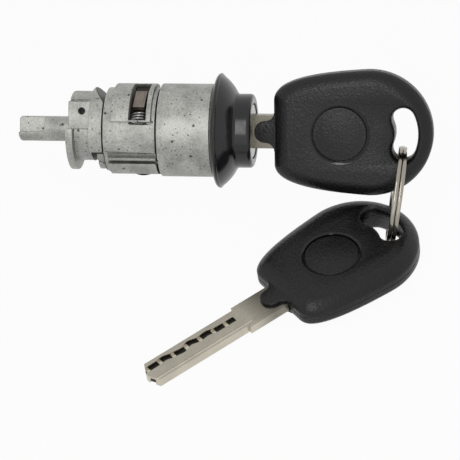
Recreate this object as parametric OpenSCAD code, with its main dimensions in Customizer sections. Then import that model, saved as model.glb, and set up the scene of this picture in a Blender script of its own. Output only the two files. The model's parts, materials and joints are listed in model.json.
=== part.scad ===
// Ignition lock cylinder of a car, with its key turned in, a split ring and a spare key.
// X runs along the lock axis towards the key, Z is up and the viewer stands on the -Y side.
// The origin is on the lock axis, at the shoulder where the bezel meets the sleeve.

/* [Barrel] */
// Radius of the sleeve that slides into the steering column
sleeve_r = 14.1; // [13.6:0.1:15]
// Length of the sleeve behind the bezel
sleeve_len = 16; // [14:0.5:22]
// Radius of the body behind the sleeve
body_r = 12.8; // [12:0.1:13.4]
// Length of the body behind the sleeve
body_len = 16.5; // [15:0.5:20]
// Radius of the spigot that carries the bezel
spigot_r = 10.2; // [9.8:0.1:10.8]
// Length of the spigot inside the bezel
spigot_len = 9; // [8:0.5:12]

/* [Bezel] */
// Radius of the flared rim
rim_r = 17.4; // [16.4:0.1:19]
// Distance of the rim's edge in front of the sleeve
rim_x = 1.9; // [1.4:0.1:3]
// Radius of the collar around the key entry
collar_r = 11.2; // [11:0.1:12.4]
// Thickness of the lip in front of the plug
lip_t = 1.1; // [0.8:0.1:2]

/* [Plug] */
// Radius of the rotating plug
plug_r = 8; // [7.8:0.05:8.4]
// Thickness of the collar that holds the plug in
plug_collar_t = 1.4; // [1:0.1:2]
// Number of wafers
wafer_n = 8; // [4:1:8]
// Distance between wafers
wafer_pitch = 3; // [2.6:0.1:3.2]
// Thickness of a wafer
wafer_t = 1; // [0.8:0.05:1.2]
// Width of a wafer
wafer_w = 7; // [6:0.1:7.4]

/* [Driver] */
// Radius of the tail shaft
tail_r = 3.8; // [3:0.1:4.6]
// Length of the tail shaft behind the cam disc
tail_len = 16.4; // [12:0.2:22]
// Length of the flat at the end of the tail
flat_len = 8.1; // [5:0.1:11]
// Radius of the cam disc
cam_r = 12.3; // [11:0.1:13.2]
// Thickness of the cam disc
cam_t = 2.2; // [1.6:0.1:3]
// Radius of the driver's lug ring
lug_r = 12.8; // [12:0.1:13.6]
// Length of the driver's lug ring
lug_len = 4.1; // [3:0.1:5]
// Length of the driver's block between lug ring and cam
driver_block_len = 7.1; // [6:0.1:9]
// Radius of the pin that holds the driver on the plug
pin_r = 0.95; // [0.7:0.05:1.2]

/* [Catch] */
// Width of the slot for the catch
slot_w = 5.2; // [4.6:0.1:6]
// Height of the catch above the slot's floor
catch_h = 3.6; // [3:0.1:4]
// Length of the raised block of the catch
catch_len = 7.4; // [6:0.1:8]
// Wire thickness of the catch spring
catch_wire = 0.7; // [0.5:0.05:0.8]

/* [Key] */
// Length of the blade outside the head
blade_len = 47.5; // [44:0.5:48]
// Width of the coded part of the blade
blade_w = 8.2; // [7.6:0.1:8.6]
// Width of the blade between its shoulder and the head
shoulder_w = 10.2; // [9.4:0.1:10.6]
// Length of the blade between its shoulder and the head
shoulder_len = 14; // [10:0.5:16]
// Thickness of the blade
blade_t = 2.9; // [2.4:0.1:3.2]
// Width of the milled track
track_w = 2; // [1.6:0.1:2.4]
// Thickness of the key head
head_t = 9.6; // [8.8:0.1:10.4]
// Largest radius of the key head, at its far end
head_r = 19; // [18:0.1:20.5]
// Length of the key head
head_len = 47.9; // [45:0.1:50]
// Radius of the round inlay
inlay_r = 8.2; // [6:0.1:9]
// Gap between the bezel's front and the key head
key_gap = 6.3; // [5.5:0.1:9]

/* [Ring] */
// Outer radius of the split ring
ring_r = 15.2; // [15:0.1:16.4]
// Thickness of the ring's wire across the ring
ring_wire_t = 1.9; // [1.4:0.1:2]
// Width of one turn of the ring's wire
ring_wire_w = 1.3; // [1:0.05:1.35]

/* [Fits] */
// Radial clearance of the plug in its bore
running_gap = 0.05; // [0.02:0.01:0.1]
// Clearance around pieces that slide
slide_gap = 0.15; // [0.1:0.05:0.2]
// Gap between faces that turn past each other
turn_gap = 0.2; // [0.1:0.05:0.3]
// Clearance of pieces pressed or glued together
seat_gap = 0.05; // [0.02:0.01:0.1]

/* [Pose] */
// Turn of the lock body about its axis
lock_clock = 40; // [0:1:90]
// Turn of the keyway about the axis
key_clock = 30; // [24:1:36]
// Heading of the spare key, from the blade's tip to its head
spare_yaw = 41.8; // [38:0.2:45]

/* [Hidden] */
$fn = 96;

far = 60;
eps = 0.01;

// Axial stations of the lock, from the bezel's face to the tail's tip
plug_recess = 0.3;
plug_end_gap = 0.1;
lug_gap = 0.3;
plug_collar_x = spigot_len + turn_gap;
lip_x = plug_collar_x + plug_collar_t + slide_gap;
bezel_front = lip_x + lip_t;
plug_front = bezel_front - plug_recess;
body_x = -sleeve_len - body_len;
plug_rear = body_x - plug_end_gap;
lug_front = body_x - lug_gap;
lug_rear = lug_front - lug_len;
block_rear = lug_rear - driver_block_len;
tail_tip = block_rear - tail_len;

// Radii that follow from the plug
bore_r = plug_r + running_gap;
plug_spigot_r = plug_r - 2.2;
plug_collar_r = spigot_r - 0.8;
lip_r = plug_r + 0.4;
lug_height = 3.3;
core_r = lug_r - lug_height;
notch_r = core_r - 0.2;
slot_floor = bore_r + 0.65;

// Section of the bezel, with points as radius and x
rim_soft = 0.6;
rim_back = 0.9;
rim_tip = 0.5;
flare_bulge = [0.65, 0.4];
flare_foot = 0.7;
flare_x = spigot_len - 2.4;
collar_x = spigot_len - 1.3;
collar_corner = 1.3;

// Boss, slot and lower rail of the housing
boss_edge_z = 2.3;
boss_back_y = 4;
boss_rear_len = 5.6;
boss_front_len = 1.5;
boss_r = sleeve_r - 0.05;
neck_w = 0.55;
neck_r = body_r - 0.9;
slot_right = -sleeve_len - 3.2;
slot_left = slot_right - slot_w;
boss_left = slot_left - boss_rear_len;
boss_right = slot_right + boss_front_len;
catch_tilt = 40;
slot_low = -8.65;
slot_high = 8.5;
rail_top = -body_r + 2.5;
rail_low = -sleeve_r + 0.7;
rail_left = body_x + 1.4;
rail_right = -sleeve_len - 0.6;
rib_top = rail_top + 1.7;
rib_low = rail_top + 0.8;
step_top = rib_top + 1.5;

// Stop of the ignition turn: a tongue on the housing in a notch of the driver
stop_from = 37;
stop_to = 73;
turn_range = 90;
stop_play = 3;
stop_len = 2.1;

// Bow spring under the rail
bow_x = (slot_left + slot_right) / 2;
bow_out_r = 5;
bow_t = 0.6;
bow_w = 4;
bow_low = -sqrt(boss_r * boss_r - bow_w * bow_w / 4);
bow_seat = rail_low + 1.1;

// Catch and its spring
catch_x0 = slot_left + slide_gap;
catch_x1 = slot_right - slide_gap;
catch_base_t = 1.3;
catch_low = -4.1;
catch_bottom = slot_floor + 0.1;
catch_block_w = 3.6;
catch_spring_w = slot_w - 0.5;
catch_spring_h = 2.2;

// Driver pin, tangent to the plug's rear spigot
pin_from_rear = 4.1;
pin_x = block_rear + pin_from_rear;
pin_z = plug_spigot_r - 0.4;
pin_deep = 2.6;
driver_half_w = 7.5;
block_top = 9;
block_step = 0.6;
lug_bevel_len = lug_len - 0.6;
lug_bevel_deep = 4.5;

// Wafers
wafer_first = -4;
wafer_code = [1, 3, 2, 4, 1, 2, 4, 3];
code_step = 0.35;
wafer_gap = 0.05;
ear_y = wafer_w / 2 + 1.9;
ear_z = 2;
ear_t = 1.2;
pocket_r = 0.75;
pocket_y = wafer_w / 2 + 1.1;
pocket_z = -2.6;
function wafer_x(i) = wafer_first - i * wafer_pitch;

// Key: s runs from the front edge of the head towards its far end
key_x = bezel_front + key_gap;
half_t = head_t / 2;
head_end_s = head_len - head_r;
head_corner = [4.5, 9.7, 4.5];
head_flank = [10, 8.5, 9.4];
head_end = [head_end_s, 0, head_r];
head_spots = concat([head_corner], curve(head_corner, head_flank, head_end, 16), [head_end]);
head_rim_n = 72;
head_wall = 1.6;
head_shoulder = 4.4;
crown_power = 1.25;
crown_n = 5;
head_levels = concat([[0, 0]], [
    for (i = [0 : crown_n])
        let (a = 90 * i / crown_n)
        [
            head_wall + (half_t - head_wall) * pow(sin(a), crown_power),
            head_shoulder * (1 - pow(cos(a), crown_power))
        ]
]);
loop_in = 7.7;
loop_wall = 4.5;
loop_out = head_r - loop_wall;
loop_mid = (loop_in + loop_out) / 2;
loop_half = (loop_out - loop_in) / 2;
loop_angle = 24;
loop_flare = 1.2;
inlay_s = 20;
inlay_deep = 1.2;
inlay_gap = 0.25;
tongue_len = key_gap - 0.3;
tongue_w = 6.6;
tongue_t = 1.1;
tongue_fillet = 2.6;
tang_len = 12;
tang_w = 8;
chip_s = 13.5;
chip = [12, 6, 3];
tip_bevel = 1.7;
track_deep = 0.9;
track_v = blade_w / 2 - track_w / 2 - 2.5;
ledge_v = 0.6 - blade_w / 2;
ledge_w = 0.8;
ledge_deep = 0.3;

// Ring: hangs in the loop of the key in the lock, and its lowest point is just above the surface
ring_lean = 9.5;
ring_hang = key_clock + 2.3;
ring_angle = -27.7;
ring_mid_r = ring_r - ring_wire_t / 2;
ring_v = loop_mid * sin(ring_angle);
ring_at = [
    key_x + head_end_s + loop_mid * cos(ring_angle),
    ring_v * sin(key_clock),
    ring_v * cos(key_clock)
];
ring_drop = ring_mid_r * cos(ring_hang);
ring_x = ring_at[0] - ring_drop * sin(ring_lean);
ring_y = ring_at[1] - ring_mid_r * sin(ring_hang);
ring_z = ring_at[2] - ring_drop * cos(ring_lean);
floor_z = ring_z - ring_r - 0.25;

// Spare key: lies on its head and its tip, with its loop around the near side of the ring
spare_rest_s = head_corner[0];
spare_pitch = asin((half_t - blade_t / 2) / (blade_len + spare_rest_s)) - 0.1;
spare_angle = -23.4;
spare_loop_r = loop_mid - 0.66;
spare_s = head_end_s + spare_loop_r * cos(spare_angle);
spare_v = spare_loop_r * sin(spare_angle);
spare_mid_z = floor_z + half_t * cos(spare_pitch) + (spare_s - spare_rest_s) * sin(spare_pitch);
spare_fall = (ring_z - spare_mid_z) / cos(ring_lean);
spare_on_ring = [
    ring_x - spare_fall * sin(ring_lean),
    ring_y - sqrt(ring_mid_r * ring_mid_r - spare_fall * spare_fall),
    spare_mid_z
];

// A box between two corners
module block(low, high) {
    translate(low) cube(high - low);
}

// A round bar along X
module rod(x0, x1, r) {
    translate([x0, 0, 0]) rotate([0, 90, 0]) cylinder(h = x1 - x0, r = r);
}

// A solid turned about X from a profile of [radius, x] points
module turned(profile) {
    rotate([0, 90, 0]) rotate_extrude() polygon(profile);
}

// Frames of the lock body, the catch, the key and the spare key
module lock_frame() {
    rotate([-lock_clock, 0, 0]) children();
}

module catch_frame() {
    lock_frame() rotate([catch_tilt, 0, 0]) children();
}

module key_frame() {
    rotate([-key_clock, 0, 0]) translate([key_x, 0, 0]) children();
}

module spare_frame() {
    translate(spare_on_ring)
        rotate([0, 0, spare_yaw])
        rotate([0, -spare_pitch, 0])
        rotate([-90, 0, 0])
        translate([-spare_s, 0, -spare_v])
        children();
}

// Points of a quadratic curve between two points
function curve(a, b, c, n) = [
    for (i = [1 : n - 1])
        let (t = i / n)
        (1 - t) * (1 - t) * a + 2 * t * (1 - t) * b + t * t * c
];

// A sector ring about X from one angle below the near side to another
module stop_sector(x0, x1, r0, r1, from, to) {
    translate([x0, 0, 0])
        rotate([0, 90, 0])
        rotate([0, 0, from - 90])
        rotate_extrude(angle = to - from)
        polygon([[r0, 0], [r1, 0], [r1, x1 - x0], [r0, x1 - x0]]);
}

// A wire of round section along a helix about Z, flattened along Y, as one closed skin
module helix(r, flat, wire_r, height, turns, per_turn, sides) {
    steps = round(turns * per_turn);
    points = [
        for (i = [0 : steps], j = [0 : sides - 1])
            let (
                a = 360 * turns * i / steps,
                b = 360 * j / sides,
                out = wire_r * cos(b)
            )
            [(r + out) * cos(a), (flat * r + out) * sin(a), height * i / steps + wire_r * sin(b)]
    ];
    skin(points, steps, sides);
}

// Closed skin over rings of points
module skin(points, steps, sides) {
    ends = [
        [for (j = [sides - 1 : -1 : 0]) j],
        [for (j = [0 : sides - 1]) steps * sides + j]
    ];
    near = [
        for (i = [0 : steps - 1], j = [0 : sides - 1])
            [i * sides + j, (i + 1) * sides + (j + 1) % sides, (i + 1) * sides + j]
    ];
    away = [
        for (i = [0 : steps - 1], j = [0 : sides - 1])
            [i * sides + j, i * sides + (j + 1) % sides, (i + 1) * sides + (j + 1) % sides]
    ];
    polyhedron(points, concat(ends, near, away), convexity = 8);
}

// Lock housing: sleeve, spigot, reduced body, boss, rail and rotation stop
module housing() {
    color("darkgray") lock_frame() difference() {
        union() {
            rod(-sleeve_len, 0, sleeve_r);
            rod(-eps, spigot_len, spigot_r);
            rod(body_x, -sleeve_len + eps, body_r);
            intersection() {
                rod(boss_left, boss_right, boss_r);
                block([boss_left, -far, boss_edge_z], [boss_right, boss_back_y, far]);
            }
            intersection() {
                rod(rail_left, rail_right, boss_r);
                block([rail_left, -far, rail_low], [rail_right, far, rail_top]);
            }
            intersection() {
                rod(rail_left, rail_right, body_r + 0.6);
                block([rail_left, -far, rib_low], [rail_right, 0, rib_top]);
            }
            stop_sector(body_x - stop_len, body_x + 1, core_r + 0.3, body_r - 0.2, stop_from, stop_to);
        }
        rod(body_x - far, spigot_len + eps, bore_r);
        neck();
        rail_grooves();
        bow_pocket();
        rotate([catch_tilt, 0, 0])
            block([slot_left, slot_low, slot_floor], [slot_right, slot_high, far]);
    }
}

// Groove around the body where it meets the sleeve
module neck() {
    difference() {
        rod(-sleeve_len - neck_w, -sleeve_len, far);
        rod(-sleeve_len - neck_w - 1, -sleeve_len + 1, neck_r);
    }
}

// Grooves along the near side above the rail, and across the stop
module rail_grooves() {
    difference() {
        union() {
            block([rail_left - eps, -far, rail_top], [rail_right + eps, 0, rib_low]);
            block([rail_left - eps, -far, rib_top], [rail_right + eps, 0, step_top]);
        }
        rod(body_x, 0, body_r - 0.4);
    }
    difference() {
        block([body_x - far, -far, rail_top + 0.4], [body_x - eps, 0, rail_top + 0.8]);
        rod(body_x - far, 0, body_r - 0.8);
    }
}

// Pocket in the rail that holds the ends of the bow spring
module bow_pocket() {
    block(
        [bow_x - bow_out_r, -bow_w / 2 - slide_gap, rail_low - 1],
        [bow_x + bow_out_r, bow_w / 2 + slide_gap, bow_seat]
    );
}

// Bow-shaped leaf spring that stops the lock from rattling in the column
module bow_spring() {
    color("black") lock_frame() intersection() {
        translate([bow_x, 0, bow_low + bow_out_r])
            rotate([90, 0, 0])
            difference() {
                cylinder(h = bow_w, r = bow_out_r, center = true);
                cylinder(h = bow_w + 1, r = bow_out_r - bow_t, center = true);
            }
        block([bow_x - far, -far, -far], [bow_x + far, far, bow_seat]);
    }
}

// Flared bezel with its collar, turned as one profile
module bezel() {
    bore = spigot_r + seat_gap;
    back = [rim_r - rim_soft, rim_x - rim_back];
    tip = [rim_r - rim_soft, rim_x + rim_tip];
    foot = [collar_r + flare_foot, flare_x];
    collar = [collar_r, collar_x];
    front = [collar_r, bezel_front - collar_corner];
    face = [collar_r - collar_corner, bezel_front];
    color("black") turned(concat(
        [[bore, 0], [sleeve_r, 0], back],
        curve(back, [rim_r + rim_soft, rim_x], tip, 6),
        [tip],
        curve(tip, (tip + foot) / 2 + flare_bulge, foot, 6),
        [foot],
        curve(foot, [collar_r, flare_x + flare_foot / 2], collar, 4),
        [collar, front],
        curve(front, [collar_r, bezel_front], face, 5),
        [face, [lip_r, bezel_front], [lip_r, lip_x], [bore, lip_x]]
    ));
}

// Sliding catch: a base with a tongue up to the slot's end and a raised block
module catch() {
    top = catch_bottom + catch_h;
    inset = (catch_x1 - catch_x0 - catch_block_w) / 2;
    color("rosybrown") catch_frame() {
        block(
            [catch_x0, catch_low, catch_bottom],
            [catch_x1, slot_high - slide_gap, catch_bottom + catch_base_t]
        );
        block(
            [catch_x0 + inset, catch_low, catch_bottom],
            [catch_x1 - inset, catch_low + catch_len, top]
        );
    }
}

// Coil spring that pushes the catch against the end of its slot
module catch_spring() {
    wire_r = catch_wire / 2;
    low = slot_low + wire_r + seat_gap;
    high = catch_low - wire_r - seat_gap;
    coil_r = catch_spring_w / 2 - wire_r;
    flat = (catch_spring_h / 2 - wire_r) / coil_r;
    color("silver") catch_frame()
        translate([(slot_left + slot_right) / 2, low, catch_bottom + catch_spring_h / 2])
        rotate([-90, 0, 0])
        helix(coil_r, flat, wire_r, high - low, 3, 16, 6);
}

// Rotating plug with its keyway, wafer slots, spring pockets and rear spigot
module plug() {
    play = slide_gap - 0.05;
    color("lightgray") difference() {
        union() {
            rod(plug_rear, plug_front, plug_r);
            rod(plug_collar_x, plug_collar_x + plug_collar_t, plug_collar_r);
            rod(block_rear + 2, plug_rear + eps, plug_spigot_r);
        }
        rotate([-key_clock, 0, 0]) {
            block(
                [key_x - blade_len - 1, -blade_t / 2 - play, -blade_w / 2 - play],
                [far, blade_t / 2 + play, blade_w / 2 + play]
            );
            block(
                [key_x - shoulder_len - 0.3, -blade_t / 2 - play, -shoulder_w / 2 - play],
                [far, blade_t / 2 + play, shoulder_w / 2 + play]
            );
            for (i = [0 : wafer_n - 1]) wafer_slot(i);
        }
        lock_frame() driver_pin_hole();
    }
}

// Slot through the plug for one wafer, its ear and its spring
module wafer_slot(i) {
    half = wafer_t / 2 + wafer_gap;
    side = wafer_w / 2 + 0.1;
    translate([wafer_x(i), 0, 0]) {
        block([-half, -side, -far], [half, side, far]);
        block([-half, 0, pocket_z], [half, ear_y + 0.1, ear_z + ear_t + 0.3]);
        translate([0, pocket_y, pocket_z]) cylinder(h = ear_z - pocket_z, r = pocket_r, $fn = 24);
    }
}

// One wafer: a plate with a coded window for the blade and an ear for its spring
module wafer(i) {
    half = wafer_t / 2;
    open = blade_w / 2 + 0.25;
    lift = wafer_code[i] * code_step;
    if (i < wafer_n)
        color("goldenrod") rotate([-key_clock, 0, 0]) translate([wafer_x(i), 0, 0]) difference() {
            union() {
                intersection() {
                    rod(-half, half, plug_r - 0.1);
                    block([-half, -wafer_w / 2, -far], [half, wafer_w / 2, far]);
                }
                block([-half, 0, ear_z], [half, ear_y, ear_z + ear_t]);
            }
            block(
                [-half - 1, -blade_t / 2 - 0.2, -open - code_step * 5 + lift],
                [half + 1, blade_t / 2 + 0.2, open + lift]
            );
        }
}

// Small coil springs under the wafers' ears
module wafer_springs() {
    wire_r = 0.13;
    color("silver") rotate([-key_clock, 0, 0]) for (i = [0 : wafer_n - 1])
        translate([wafer_x(i), pocket_y, pocket_z + wire_r + 0.05])
            helix(pocket_r - wire_r - 0.1, 1, wire_r, ear_z - pocket_z - 2 * wire_r - 0.1, 4, 8, 4);
}

// Hole for the driver pin, across the block and past the plug's spigot
module driver_pin_hole() {
    translate([pin_x, 0, pin_z])
        rotate([90, 0, 0])
        cylinder(h = far, r = pin_r + seat_gap, center = true, $fn = 48);
}

// Pin that holds the driver on the plug
module driver_pin() {
    color("gray") lock_frame() translate([pin_x, 0, pin_z])
        rotate([90, 0, 0])
        cylinder(h = 2 * (driver_half_w - pin_deep), r = pin_r, center = true, $fn = 48);
}

// Driver: tail shaft with its flat, cam disc, block and lug ring, cast as one piece
module driver() {
    bevel = 0.6;
    color("darkgray") lock_frame() difference() {
        union() {
            turned([
                [0, tail_tip], [tail_r - bevel, tail_tip], [tail_r, tail_tip + bevel],
                [tail_r, block_rear + 1], [0, block_rear + 1]
            ]);
            intersection() {
                union() {
                    rod(block_rear, block_rear + cam_t, cam_r);
                    rod(block_rear, lug_rear + eps, core_r);
                }
                block([-2 * far, -far, -far], [0, far, 0]);
            }
            block(
                [block_rear, -driver_half_w, -1],
                [lug_rear + eps, driver_half_w, block_top - block_step]
            );
            block(
                [block_rear + block_step, block_step - driver_half_w, 0],
                [lug_rear, driver_half_w - block_step, block_top + eps]
            );
            intersection() {
                rod(block_rear + block_step, lug_rear + eps, lug_r - 1.2);
                block([-2 * far, -driver_half_w, block_top], [0, driver_half_w, far]);
            }
            difference() {
                rod(lug_rear, lug_front, lug_r);
                stop_sector(
                    lug_rear - 1, lug_front + 1, notch_r, lug_r + 1,
                    stop_from - stop_play, stop_to + turn_range + stop_play
                );
                lug_bevel();
            }
        }
        rod(block_rear + 1.9, 0, plug_spigot_r + seat_gap);
        driver_pin_hole();
        block(
            [tail_tip - 1, -2 * tail_r, -0.3 * tail_r],
            [tail_tip + flat_len, -0.3 * tail_r, 2 * tail_r]
        );
    }
}

// Slanted cut over the top of the lug ring, towards the housing
module lug_bevel() {
    rotate([90, 0, 0])
        linear_extrude(height = 2 * far, center = true)
        polygon([
            [lug_front - 2 * lug_bevel_len, lug_r + lug_bevel_deep],
            [lug_front, lug_r + lug_bevel_deep],
            [lug_front + 1, lug_r],
            [lug_front + 1, lug_r - lug_bevel_deep],
            [lug_front, lug_r - lug_bevel_deep]
        ]);
}

// Blade outline, tip at the left, drawn in s and v
module blade_outline() {
    tip = -blade_len;
    narrow = blade_w / 2;
    wide = shoulder_w / 2;
    tang = tang_w / 2;
    polygon([
        [tip, narrow - 2 * tip_bevel], [tip + tip_bevel, narrow], [-shoulder_len, narrow],
        [-shoulder_len, wide], [-0.1, wide], [-0.1, tang], [tang_len, tang],
        [tang_len, -tang], [-0.1, -tang], [-0.1, -wide], [-shoulder_len, -wide],
        [-shoulder_len, -narrow], [tip + tip_bevel, -narrow], [tip, 2 * tip_bevel - narrow]
    ]);
}

// Height of the track's middle line at distance s, eased between the coded places
function track_mid(s) =
    let (
        u = max(0, min(wafer_n - 1.001, (wafer_first - key_x - s) / wafer_pitch)),
        i = floor(u),
        t = (1 - cos(180 * (u - i))) / 2,
        last = min(wafer_n - 1, i + 1)
    )
    track_v + code_step * ((1 - t) * wafer_code[i] + t * wafer_code[last]);

// Milled track of one face, from the tip to the shoulder
module track() {
    n = 40;
    s0 = -blade_len - 1;
    s1 = -shoulder_len - 1.5;
    upper = [for (i = [0 : n]) let (s = s0 + (s1 - s0) * i / n) [s, track_mid(s) + track_w / 2]];
    lower = [for (i = [n : -1 : 0]) let (s = s0 + (s1 - s0) * i / n) [s, track_mid(s) - track_w / 2]];
    polygon(concat(upper, lower));
}

// A flat shape in s and v, given thickness along y from y0 to y1
module plate(y0, y1) {
    translate([0, y1, 0]) rotate([90, 0, 0]) linear_extrude(height = y1 - y0) children();
}

// Key blade with the track and ledge on both faces
module blade() {
    face = blade_t / 2;
    color("gainsboro") difference() {
        plate(-face, face) blade_outline();
        for (turn = [0, 180]) rotate([turn, 0, 0]) {
            plate(-far, track_deep - face) track();
            block(
                [-blade_len - 1, -far, ledge_v],
                [-shoulder_len + 2, ledge_deep - face, ledge_v + ledge_w]
            );
        }
    }
}

// Place of the largest number in a list
function at_max(list) = [for (i = [0 : len(list) - 1]) if (list[i] == max(list)) i][0];

// Points in s and v around all the circles of the head, drawn in by an inset
function head_rim(inset) = [
    for (k = [0 : head_rim_n - 1])
        let (
            out = [cos(360 * k / head_rim_n), -sin(360 * k / head_rim_n)],
            reach = [for (spot = head_spots) spot * [out[0], abs(out[1]), 1]],
            spot = head_spots[at_max(reach)],
            r = spot[2] - inset
        )
        [spot[0] + r * out[0], sign(out[1]) * spot[1] + r * out[1]]
];

// Pillow-shaped half of a head, on the viewer's side of the parting plane
module half_pillow() {
    points = [for (level = head_levels, rim = head_rim(level[1])) [rim[0], -level[0], rim[1]]];
    skin(points, len(head_levels) - 1, head_rim_n);
}

// Loop hole for the ring: a curved slot about the round end of the head, flared at both faces
module loop_hole() {
    straight = half_t - loop_flare;
    wide = loop_half + loop_flare;
    side = [
        [wide, -far], [wide, -half_t], [loop_half, -straight],
        [loop_half, straight], [wide, half_t], [wide, far]
    ];
    translate([head_end_s, 0, 0]) rotate([90, 0, 0]) {
        rotate([0, 0, -loop_angle])
            rotate_extrude(angle = 2 * loop_angle)
            translate([loop_mid, 0])
            polygon(concat(side, [for (i = [5 : -1 : 0]) [-side[i][0], side[i][1]]]));
        for (a = [-loop_angle, loop_angle]) rotate([0, 0, a])
            translate([loop_mid, 0, 0])
            rotate_extrude()
            polygon(concat(side, [[0, far], [0, -far]]));
    }
}

// Space inside the head for the blade's tang and the transponder chip
module head_cavity() {
    half_tang = tang_w / 2 + seat_gap;
    half_blade = blade_t / 2 + seat_gap;
    block([-far, -half_blade, -half_tang], [tang_len + seat_gap, half_blade, half_tang]);
    block(
        [chip_s - 0.1, -chip[2] / 2 - 0.1, -chip[1] / 2 - 0.1],
        [chip_s + chip[0] + 0.1, chip[2] / 2 + 0.1, chip[1] / 2 + 0.1]
    );
}

// Outline of the tongue in s and v: a round end that spreads in two fillets into the head
module tongue_outline() {
    half = tongue_w / 2;
    root = half + tongue_fillet;
    end = [for (a = [180 : -15 : 90]) [half - tongue_len + half * cos(a), half * sin(a)]];
    fillet = [
        for (a = [0 : 15 : 90])
            [tongue_fillet * (sin(a) - 1), root - tongue_fillet * cos(a)]
    ];
    upper = concat(end, fillet, [[head_corner[0], root]]);
    lower = [for (i = [len(upper) - 1 : -1 : 1]) [upper[i][0], -upper[i][1]]];
    polygon(concat(upper, lower));
}

// Tongue of the head along the face of the blade
module tongue() {
    plate(-blade_t / 2 - tongue_t, -blade_t / 2 - seat_gap) tongue_outline();
}

// Half of a head with its tongue, without its holes
module head_half() {
    difference() {
        union() {
            half_pillow();
            tongue();
        }
        loop_hole();
        head_cavity();
    }
}

// Front half of a key head, with the recess for the inlay
module head_front() {
    color("#2b2b2d") difference() {
        head_half();
        translate([inlay_s, inlay_deep - half_t, 0])
            rotate([90, 0, 0])
            cylinder(h = far, r = inlay_r + inlay_gap);
    }
}

// Back half of a key head
module head_back() {
    color("#2b2b2d") rotate([180, 0, 0]) head_half();
}

// Round inlay in the recess, slightly domed
module inlay() {
    dome = 0.35;
    rim = inlay_deep - 0.3;
    color("#303032") translate([inlay_s, inlay_deep - half_t, 0])
        rotate([90, 0, 0])
        rotate_extrude()
        polygon(concat(
            [[0, 0], [inlay_r, 0], [inlay_r, rim]],
            [for (i = [5 : -1 : 0]) let (r = (inlay_r - 0.4) * i / 5)
                [r, rim + 0.15 + dome * (1 - pow(r / inlay_r, 2))]]
        ));
}

// Transponder chip inside the head
module transponder() {
    color("dimgray") block(
        [chip_s, -chip[2] / 2, -chip[1] / 2],
        [chip_s + chip[0], chip[2] / 2, chip[1] / 2]
    );
}

// Split ring: two turns of flat wire that step from one side to the other
module split_ring() {
    steps = 76;
    turn = 700;
    sides = 8;
    ease = 50;
    function shift(a) =
        let (t = max(0, min(1, (a - turn / 2 + ease) / (2 * ease))))
        (1 - cos(180 * t)) / 2;
    half_t = ring_wire_t / 2;
    half_w = ring_wire_w / 2;
    bevel = 0.3;
    section = [
        [half_t - bevel, -half_w], [half_t, bevel - half_w], [half_t, half_w - bevel],
        [half_t - bevel, half_w], [bevel - half_t, half_w], [-half_t, half_w - bevel],
        [-half_t, bevel - half_w], [bevel - half_t, -half_w]
    ];
    pitch = ring_wire_w + 0.1;
    points = [
        for (i = [0 : steps], p = section)
            let (a = turn * i / steps, r = ring_mid_r + p[0])
            [r * cos(a), r * sin(a), p[1] + pitch * (shift(a) - 0.5)]
    ];
    color("silver") translate([ring_x, ring_y, ring_z])
        rotate([0, 90 + ring_lean, 0])
        rotate([0, 0, 150])
        skin(points, steps, sides);
}

module wafer_1() { wafer(0); }
module wafer_2() { wafer(1); }
module wafer_3() { wafer(2); }
module wafer_4() { wafer(3); }
module wafer_5() { wafer(4); }
module wafer_6() { wafer(5); }
module wafer_7() { wafer(6); }
module wafer_8() { wafer(7); }
module key_blade() { key_frame() blade(); }
module key_head_front() { key_frame() head_front(); }
module key_head_back() { key_frame() head_back(); }
module key_inlay() { key_frame() inlay(); }
module key_chip() { key_frame() transponder(); }
module spare_key_blade() { spare_frame() blade(); }
module spare_key_head_front() { spare_frame() head_front(); }
module spare_key_head_back() { spare_frame() head_back(); }
module spare_key_inlay() { spare_frame() inlay(); }
module spare_key_chip() { spare_frame() transponder(); }

housing();
bezel();
bow_spring();
catch();
catch_spring();
plug();
wafer_1();
wafer_2();
wafer_3();
wafer_4();
wafer_5();
wafer_6();
wafer_7();
wafer_8();
wafer_springs();
driver();
driver_pin();
key_blade();
key_head_front();
key_head_back();
key_inlay();
key_chip();
split_ring();
spare_key_blade();
spare_key_head_front();
spare_key_head_back();
spare_key_inlay();
spare_key_chip();
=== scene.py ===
"""Looks of a car's ignition lock cylinder with its key, a split ring and a spare key.

The file is laid out as an add-on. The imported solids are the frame: pieces that need softer edges or smoother
curves are modelled here in their place, and the others keep their solids and get a finish.
"""

import json
import math

import bmesh
import bpy
import numpy as np
from bpy.props import FloatProperty, FloatVectorProperty, IntProperty, PointerProperty
from mathutils import Matrix, Vector


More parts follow.
